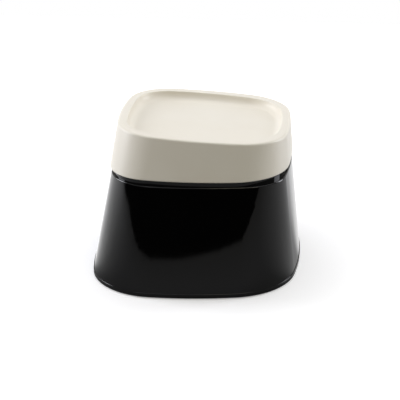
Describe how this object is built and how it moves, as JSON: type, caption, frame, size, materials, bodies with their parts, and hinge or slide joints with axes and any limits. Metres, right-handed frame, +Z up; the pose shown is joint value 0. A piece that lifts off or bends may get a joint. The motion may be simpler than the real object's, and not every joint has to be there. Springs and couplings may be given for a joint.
{
  "type": "pet food bowl",
  "caption": "Raised pet food bowl: a shallow tilted dish in a tapered rounded-square skirt, resting on a hollow tapered stand.",
  "frame": {"origin": "on the floor, under the middle of the stand's base", "axes": "+Z up, +X towards the low end of the rim, -Y towards the front of the picture"},
  "size_m": [0.1996, 0.2186, 0.1461],
  "materials": {
    "cream_plastic": "satin",
    "black_plastic": "polished",
    "foot_rubber": "matte"
  },
  "bodies": {
    "root": {"bowl": "cream_plastic", "stand": "black_plastic", "foot_high_front": "foot_rubber", "foot_high_back": "foot_rubber", "foot_low_front": "foot_rubber", "foot_low_back": "foot_rubber"}
  },
  "joints": []
}
